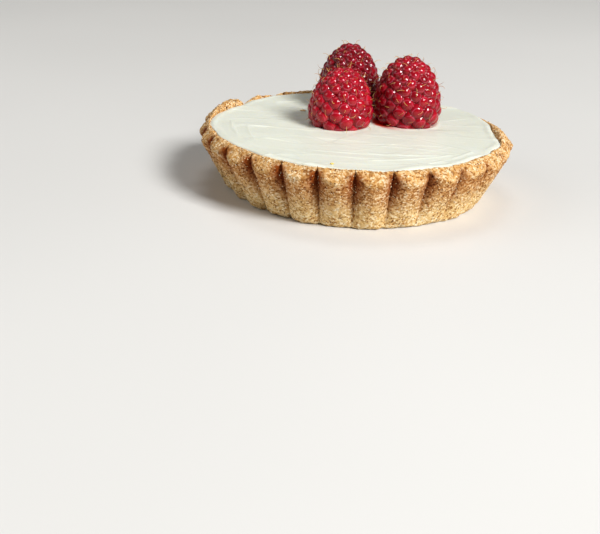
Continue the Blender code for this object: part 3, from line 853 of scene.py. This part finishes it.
def build_cream(finish):
    bearings = TURN * np.arange(CREAM_SIDES) / CREAM_SIDES
    edge = fill_edge(bearings) + FIT_GAP + EDGE_OVERHANG + bumps_at(bearings, EDGE_SPILLS)[0] * MM
    zero = np.zeros_like(bearings)
    rows = [np.stack([zero + FLOOR_RADIUS - FIT_GAP, zero + FLOOR_THICKNESS + FIT_GAP]),
            np.stack([edge - EDGE_INSET, zero + FILL_HEIGHT - EDGE_DEPTH])]

    # The edge rolls over from the top to the wall of the shell.
    for step in range(ROLL_STEPS):
        angle = math.pi / 2 * step / ROLL_STEPS
        inwards, down = EDGE_ROLL * (1 - math.cos(angle)), EDGE_ROLL * (1 - math.sin(angle))
        rows.append(np.stack([edge - inwards, zero - down]))
    for step in range(CREAM_RINGS):
        rows.append(np.stack([(edge - EDGE_ROLL) * (1 - step / CREAM_RINGS), zero]))
    rows = np.array(rows)
    points = np.stack([rows[:, 0] * np.cos(bearings), rows[:, 0] * np.sin(bearings), rows[:, 1]], 2)
    top = points[2:]
    top[..., 2] += spread_height(top[..., 0], top[..., 1])

    # The lip round the edge is higher in some places.
    ragged = 0.5 + 0.5 * np.sin(5 * bearings + 1.0) * np.sin(11 * bearings + 0.4)
    inset = edge - rows[2:, 0]
    top[..., 2] += LIP_HEIGHT * (0.4 + ragged) * np.exp(-(((inset - LIP_PLACE) / LIP_SPREAD) ** 2))

    # The fruit pushes the cream up a little round its foot, and juice has run out from one of them.
    juice = np.zeros(points.shape[:2])
    for name, x, y, widest, tall, *_ in RASPBERRIES:
        off = np.hypot(top[..., 0] - x, top[..., 1] - y) - widest * FOOT_SHARE
        top[..., 2] += PUSH_HEIGHT * np.exp(-(((off - PUSH_PLACE) / PUSH_SPREAD) ** 2))
        tinge = TINGE * np.exp(-((np.maximum(off, 0) / TINGE_REACH) ** 2))
        if name == JUICY:
            run = bumps_at(np.arctan2(top[..., 1] - y, top[..., 0] - x), JUICE_RUNS)[0]
            tinge = np.maximum(tinge, run * np.exp(-((np.maximum(off, 0) / JUICE_REACH) ** 4)))
        juice[2:] = np.maximum(juice[2:], tinge)
    mesh = lathe_mesh("cream_filling", points)
    tag(mesh, "juice", with_ends(juice))
    mesh.materials.append(finish)
    return linked("cream_filling", mesh)


def build_crumb(name, place, size, shades):
    """A loose crumb: a small ball that is knocked out of round, half sunk in the cream."""
    level = float(spread_height(*np.array(place))) + size[2] / 2
    bm = bmesh.new()
    bmesh.ops.create_icosphere(bm, subdivisions=CRUMB_DETAIL, radius=1.0)
    for vert in bm.verts:
        vert.co *= 1 + CRUMB_UNEVENNESS * noise.noise(vert.co * CRUMB_FINENESS)
        vert.co = Vector(vert.co[i] * size[i] for i in range(3)) + Vector((*place, level))
    mesh = bpy.data.meshes.new(name)
    bm.to_mesh(mesh)
    bm.free()
    tag(mesh, "shade", np.full(len(mesh.vertices), 0.5))
    mesh.materials.append(crumb_finish(name, ((0.0, shades[0]), (1.0, shades[1]))))
    return linked(name, mesh)


# Raspberries


def outline(height, tall, widest, taper):
    """A raspberry's radius at this height above the cream: a tapering dome on a rounded underside."""
    shoulder = WIDEST_SHARE * tall
    if height >= shoulder:
        up = min(1.0, (height - shoulder) / (tall - shoulder))
        return widest * (1 - up * up) ** taper
    down = min(1.0, (shoulder - height) / (UNDERSIDE_SHARE * tall))
    return widest * math.sqrt(1 - down * down)


def pitch_at(heights, tall):
    """How far apart the drupelets lie at these heights: they get smaller towards the tip."""
    shoulder = WIDEST_SHARE * tall
    return DRUPELET_PITCH * (1 - TIP_SHRINK * np.clip((heights - shoulder) / (tall - shoulder), 0, 1))


def spiral_sites(heights, radii, tall, widest, start):
    """Drupelet tops on a shaken golden spiral over the oval, each with the room that its height asks."""
    slant = np.hypot(np.diff(heights), np.diff(radii))
    ring = math.pi * (radii[1:] + radii[:-1]) * slant
    each = pitch_at((heights[1:] + heights[:-1]) / 2, tall) ** 2 * math.sqrt(3) / 2
    covered = np.concatenate([[0], np.cumsum(ring / each)])
    count = round(covered[-1])
    height = np.interp(covered[-1] * (np.arange(count) + 0.5) / count, covered, heights)
    radius = np.interp(height, heights[::-1], radii[::-1])
    draw = random.Random(round(start * SEEDS_PER_RADIAN))
    shaken = np.array([draw.uniform(-1, 1) for _ in range(count)]) * SHAKE * DRUPELET_PITCH / widest
    bearing = start + GOLDEN_ANGLE * np.arange(count) + shaken
    return np.column_stack([radius * np.cos(bearing), radius * np.sin(bearing), height])


def crowded(sites, heights, radii, tall):
    """The sites after they have pushed each other along the oval until they lie evenly."""
    squash = np.array((1, 1, 1 / DRUPELET_TALLNESS))
    for _ in range(CROWDING_STEPS):
        pitch = pitch_at(sites[:, 2], tall)
        gaps = (sites[:, None] - sites[None]) * squash
        far = np.linalg.norm(gaps, axis=2) + DRUPELET_PITCH * np.eye(len(sites))
        reach = CROWDING_REACH * (pitch[:, None] + pitch[None]) / 2
        push = np.clip(1 - far / reach, 0, None) ** 2 / far
        moved = sites + CROWDING_RATE * pitch[:, None] * (push[..., None] * gaps).sum(1)
        out = np.hypot(moved[:, 0], moved[:, 1])
        nearest = ((out[:, None] - radii) ** 2 + (moved[:, 2, None] - heights) ** 2).argmin(1)
        across = moved[:, :2] / out[:, None] * radii[nearest, None]
        sites = np.column_stack([across, heights[nearest]])
    return sites


def drupelet_sites(tall, widest, taper, start):
    """Drupelet tops all over the oval, underside included."""
    low = (WIDEST_SHARE - UNDERSIDE_SHARE) * tall
    heights = np.linspace(tall, low, OUTLINE_STEPS + 1)
    radii = np.array([outline(h, tall, widest, taper) for h in heights])
    sites = spiral_sites(heights, radii, tall, widest, start)
    return crowded(sites, heights, radii, tall)


def drupelet_tree():
    """Blows up a ball until it meets the drupelets' spheres, which leaves a crease where two meet."""
    tree, given = new_tree(
        "drupelet_skin", Middle="Vector", Detail="Int", Softness="Float", Underside="Float",
        Finish="Material",
    )
    sites = given["Geometry"]
    count = add(tree, "GeometryNodeAttributeDomainSize", {"Geometry": sites})
    ball = add(tree, "GeometryNodeMeshIcoSphere", {"Radius": 1.0, "Subdivisions": given["Detail"]})
    place = add(tree, "GeometryNodeInputPosition")
    heading = add(tree, "ShaderNodeVectorMath", (place,), operation="NORMALIZE")
    start = ball
    for name in ("best", "second", "tint", "aside"):
        start = add(tree, "GeometryNodeStoreNamedAttribute", {"Geometry": start, "Name": name, "Value": 0.0})

    # Each round meets one sphere: reach = along + sqrt(along^2 - far^2 + size^2).
    enter = tree.nodes.new("GeometryNodeRepeatInput")
    leave = tree.nodes.new("GeometryNodeRepeatOutput")
    enter.pair_with_output(leave)
    fill(tree, enter, {"Iterations": count, "Geometry": start})
    turn = enter.outputs["Iteration"]
    site = add(tree, "GeometryNodeSampleIndex", {"Geometry": sites, "Value": place, "Index": turn},
               data_type="FLOAT_VECTOR")
    own = {}
    for name in ("size", "shade"):
        field = add(tree, "GeometryNodeInputNamedAttribute", {"Name": name})
        own[name] = add(tree, "GeometryNodeSampleIndex", {"Geometry": sites, "Value": field, "Index": turn})
    away = add(tree, "ShaderNodeVectorMath", (site, given["Middle"]), operation="SUBTRACT")
    along = add(tree, "ShaderNodeVectorMath", (heading, away), operation="DOT_PRODUCT")
    far = add(tree, "ShaderNodeVectorMath", (away, away), operation="DOT_PRODUCT")
    room = add(tree, "ShaderNodeMath", (along, along), operation="MULTIPLY")
    room = add(tree, "ShaderNodeMath", (room, far), operation="SUBTRACT")
    room = add(tree, "ShaderNodeMath", (own["size"], own["size"], room), operation="MULTIPLY_ADD")
    room = add(tree, "ShaderNodeMath", (room, 0.0), operation="MAXIMUM")
    half = add(tree, "ShaderNodeMath", (room,), operation="SQRT")
    reach = add(tree, "ShaderNodeMath", (along, half), operation="ADD")

    # How far the point lies from the drupelet's own axis, in shares of its size.
    level = add(tree, "ShaderNodeMath", (along, along), operation="MULTIPLY")
    level = add(tree, "ShaderNodeMath", (level, far), operation="DIVIDE")
    level = add(tree, "ShaderNodeMath", (1.0, level), operation="SUBTRACT")
    level = add(tree, "ShaderNodeMath", (level,), operation="SQRT")
    level = add(tree, "ShaderNodeMath", (level, reach), operation="MULTIPLY")
    level = add(tree, "ShaderNodeMath", (level, own["size"]), operation="DIVIDE")

    kept = {name: add(tree, "GeometryNodeInputNamedAttribute", {"Name": name})
            for name in ("best", "second", "tint", "aside")}
    lower = add(tree, "ShaderNodeMath", (kept["best"], reach), operation="MINIMUM")
    second = add(tree, "ShaderNodeMath", (kept["second"], lower), operation="MAXIMUM")
    ahead = add(tree, "FunctionNodeCompare", {"A": reach, "B": kept["best"]}, operation="GREATER_THAN")
    tint = add(tree, "GeometryNodeSwitch", {"Switch": ahead, "False": kept["tint"], "True": own["shade"]},
               input_type="FLOAT")
    aside = add(tree, "GeometryNodeSwitch", {"Switch": ahead, "False": kept["aside"], "True": level},
                input_type="FLOAT")
    best = add(tree, "ShaderNodeMath", (kept["best"], reach), operation="MAXIMUM")
    shape = enter.outputs["Geometry"]
    for name, value in (("second", second), ("tint", tint), ("aside", aside), ("best", best)):
        shape = add(tree, "GeometryNodeStoreNamedAttribute",
                    {"Geometry": shape, "Name": name, "Value": value})
    fill(tree, leave, {"Geometry": shape})

    # The crease is filled a little: best + softness * log(1 + exp((second - best) / softness)).
    gap = add(tree, "ShaderNodeMath", (kept["best"], kept["second"]), operation="SUBTRACT")
    scaled = add(tree, "ShaderNodeMath", (gap, given["Softness"]), operation="DIVIDE")
    scaled = add(tree, "ShaderNodeMath", (0.0, scaled), operation="SUBTRACT")
    grown = add(tree, "ShaderNodeMath", (scaled,), operation="EXPONENT")
    grown = add(tree, "ShaderNodeMath", (grown, 1.0), operation="ADD")
    grown = add(tree, "ShaderNodeMath", (grown, math.e), operation="LOGARITHM")
    reach = add(tree, "ShaderNodeMath", (grown, given["Softness"], kept["best"]), operation="MULTIPLY_ADD")
    ridge = add(tree, "ShaderNodeMath", (gap, 0.5 / MM), operation="MULTIPLY")
    marked = add(tree, "GeometryNodeStoreNamedAttribute",
                 {"Geometry": leave.outputs["Geometry"], "Name": "ridge", "Value": ridge})
    pushed = add(tree, "ShaderNodeVectorMath", {0: heading, "Scale": reach}, operation="SCALE")
    pushed = add(tree, "ShaderNodeVectorMath", (pushed, given["Middle"]), operation="ADD")
    sides = add(tree, "ShaderNodeSeparateXYZ", {"Vector": pushed}).node.outputs
    level = add(tree, "ShaderNodeMath", (sides["Z"], given["Underside"]), operation="MAXIMUM")
    final = add(tree, "ShaderNodeCombineXYZ", {"X": sides["X"], "Y": sides["Y"], "Z": level})
    skin = add(tree, "GeometryNodeSetPosition", {"Geometry": marked, "Position": final})
    finish_tree(tree, skin, given["Finish"])
    return tree


def hair_tree():
    """Sets a bent, tapering thread on each point, leaning away from the way the point faces."""
    tree, given = new_tree(
        "raspberry_styles", Length="Float", Thickness="Float", Seed="Int", Finish="Material",
    )
    bend = add(tree, "GeometryNodeCurveQuadraticBezier",
               {"Resolution": 7, "Start": (0.0, 0.0, -0.15), "Middle": (0.02, 0.0, 0.75),
                "End": (0.62, 0.12, 0.80)})
    along = add(tree, "GeometryNodeSplineParameter")
    thin = add(tree, "ShaderNodeMath", (along, -0.6, 1.0), operation="MULTIPLY_ADD")
    round_line = add(tree, "GeometryNodeCurvePrimitiveCircle",
                     {"Resolution": 4, "Radius": given["Thickness"]})
    thread = add(tree, "GeometryNodeCurveToMesh",
                 {"Curve": bend, "Profile Curve": round_line, "Scale": thin, "Fill Caps": True})
    facing = add(tree, "GeometryNodeInputNamedAttribute", {"Name": "outward"}, data_type="FLOAT_VECTOR")
    upright = add(tree, "FunctionNodeAlignRotationToVector", {"Vector": facing}, axis="Z")
    size = add(tree, "FunctionNodeRandomValue", {"Min": 0.65, "Max": 1.35, "Seed": given["Seed"]})
    size = add(tree, "ShaderNodeMath", (size, given["Length"]), operation="MULTIPLY")
    laid = add(tree, "GeometryNodeInstanceOnPoints",
               {"Points": given["Geometry"], "Instance": thread, "Rotation": upright, "Scale": size})
    lean = add(tree, "FunctionNodeRandomValue", {"Min": (0.0, -0.3, 0.0), "Max": (0.0, 1.15, TURN),
                                                 "Seed": given["Seed"]}, data_type="FLOAT_VECTOR")
    leaning = add(tree, "GeometryNodeRotateInstances", {"Instances": laid, "Rotation": lean})
    finish_tree(tree, leaning, given["Finish"])
    return tree


def build_raspberry(spec, skin_tree, thread_tree, skin_finish, thread_finish):
    name, x, y, widest, tall, taper, lean_x, lean_y, start, ripeness = spec
    seed = round(start * SEEDS_PER_RADIAN)
    lean = Matrix.Rotation(math.radians(lean_x), 3, "X") @ Matrix.Rotation(math.radians(lean_y), 3, "Y")
    sites = drupelet_sites(tall, widest, taper, start)
    tops = sites @ np.array(lean).T
    middle = np.array(lean @ Vector((0, 0, tall * MIDDLE_SHARE)))
    base = np.array((x, y, FILL_HEIGHT))
    outward = tops - middle
    outward /= np.linalg.norm(outward, axis=1, keepdims=True)

    # Drupelets are not all one size, and sit a little off the regular packing.
    draw = np.random.default_rng(seed)
    uneven = 1 + draw.uniform(-SIZE_SPREAD, SIZE_SPREAD, len(tops))
    size = DRUPELET_ROUNDNESS * pitch_at(sites[:, 2], tall) * uneven
    drift = draw.normal(0, PLACE_SPREAD, tops.shape)
    centres = tops - outward * size[:, None] + drift
    mesh = mesh_of(name + "_sites", (centres + base).tolist())
    tag(mesh, "size", size)
    tag(mesh, "shade", draw.uniform(0, TINT_SPREAD, len(tops)) + ripeness)
    skin = grow(name + "_skin", mesh, skin_tree, Middle=tuple(middle + base), Detail=DRUPELET_DETAIL,
                Softness=CREASE_FILL, Underside=FILL_HEIGHT - SINK_DEPTH, Finish=skin_finish)

    # One dried style stands on most of the drupelets that show.
    shown = (tops[:, 2] > STYLE_LEVEL) & (draw.random(len(tops)) < STYLE_SHARE)
    roots = (tops + drift)[shown] + base
    mesh = mesh_of(name + "_roots", roots.tolist())
    tag(mesh, "outward", outward[shown], "FLOAT_VECTOR")
    hairs = grow(name + "_styles", mesh, thread_tree, Length=STYLE_LENGTH, Thickness=STYLE_THICKNESS,
                 Seed=seed, Finish=thread_finish)
    return skin, hairs


def build_raspberries():
    skin_tree, thread_tree = drupelet_tree(), hair_tree()
    skin_finish, thread_finish = raspberry_finish(), hair_finish()
    for spec in RASPBERRIES:
        skin, hairs = build_raspberry(spec, skin_tree, thread_tree, skin_finish, thread_finish)
        hand_over(skin, spec[0])
        hand_over(hairs, None)


# Studio

VIEW_DISTANCE = 325.5 * MM
VIEW_ELEVATION = 15.33
VIEW_TURN = 2.65
VIEW_DIP = -8.13
VIEW_ROLL = 3.38
FOCAL_PIXELS = 1001
IMAGE_WIDTH = 600
SENSOR_WIDTH = 36
NEAREST = 0.01

# Square soft lights: name, bearing and elevation in degrees, size in metres and power in watts.
LIGHTS = (
    ("key_light", -41.0, 40.5, 0.56, 38.5),
    ("fill_light", -170.0, 30.0, 0.90, 5.4),
    ("top_light", 100.0, 72.0, 0.60, 4.6),
)
LIGHT_DISTANCE = 1.6
TABLE_REACH = 3.0
AIR_COLOUR = "F7F1E6"
AIR_STRENGTH = 0.12


def turned(degrees, axis):
    return Matrix.Rotation(math.radians(degrees), 4, axis)


def build_camera():
    """The camera looks at the middle of the cream, then turns so that the tart is above and right of
    the picture's middle, as in the photograph."""
    elevation = math.radians(VIEW_ELEVATION)
    back, up = VIEW_DISTANCE * math.cos(elevation), VIEW_DISTANCE * math.sin(elevation)
    place = Vector((0, -back, FILL_HEIGHT + up))
    data = bpy.data.cameras.new("camera")
    data.sensor_width = SENSOR_WIDTH
    data.lens = FOCAL_PIXELS / IMAGE_WIDTH * SENSOR_WIDTH
    data.clip_start = NEAREST
    camera = linked("camera", data)
    aim = turned(90 - VIEW_ELEVATION, "X") @ turned(VIEW_TURN, "Y")
    aim = aim @ turned(VIEW_DIP, "X") @ turned(VIEW_ROLL, "Z")
    camera.matrix_world = Matrix.Translation(place) @ aim
    bpy.context.scene.camera = camera


def build_light(name, bearing, elevation, size, power):
    """A square soft light at this bearing and elevation, aimed at the tart."""
    data = bpy.data.lights.new(name, "AREA")
    data.shape = "SQUARE"
    data.size = size
    data.energy = power
    bearing, elevation = math.radians(bearing), math.radians(elevation)
    across, up = LIGHT_DISTANCE * math.cos(elevation), LIGHT_DISTANCE * math.sin(elevation)
    place = Vector((across * math.cos(bearing), across * math.sin(bearing), up))
    aim = (Vector((0, 0, FILL_HEIGHT)) - place).to_track_quat("-Z", "Y")
    linked(name, data).matrix_world = Matrix.Translation(place) @ aim.to_matrix().to_4x4()


def build_studio():
    corners = [(x * TABLE_REACH, y * TABLE_REACH, 0) for x, y in ((-1, -1), (1, -1), (1, 1), (-1, 1))]
    mesh = mesh_of("table", corners, [(0, 1, 2, 3)])
    mesh.materials.append(tabletop_finish())
    linked("table", mesh)
    for light in LIGHTS:
        build_light(*light)
    world = bpy.data.worlds.new("studio")
    world.use_nodes = True
    air = world.node_tree.nodes["Background"]
    air.inputs["Color"].default_value = linear(AIR_COLOUR)
    air.inputs["Strength"].default_value = AIR_STRENGTH
    bpy.context.scene.world = world
    bpy.context.scene.view_settings.view_transform = "Standard"
    build_camera()


# The whole


crust = build_crust(shortcrust_finish())
grains = build_grains(crust)
hand_over(crust, "crust")
for grain in grains:
    hand_over(grain, None)
hand_over(build_cream(cream_finish()), "cream")
for crumb in CRUMBS:
    hand_over(build_crumb(*crumb), None)
build_raspberries()
build_studio()
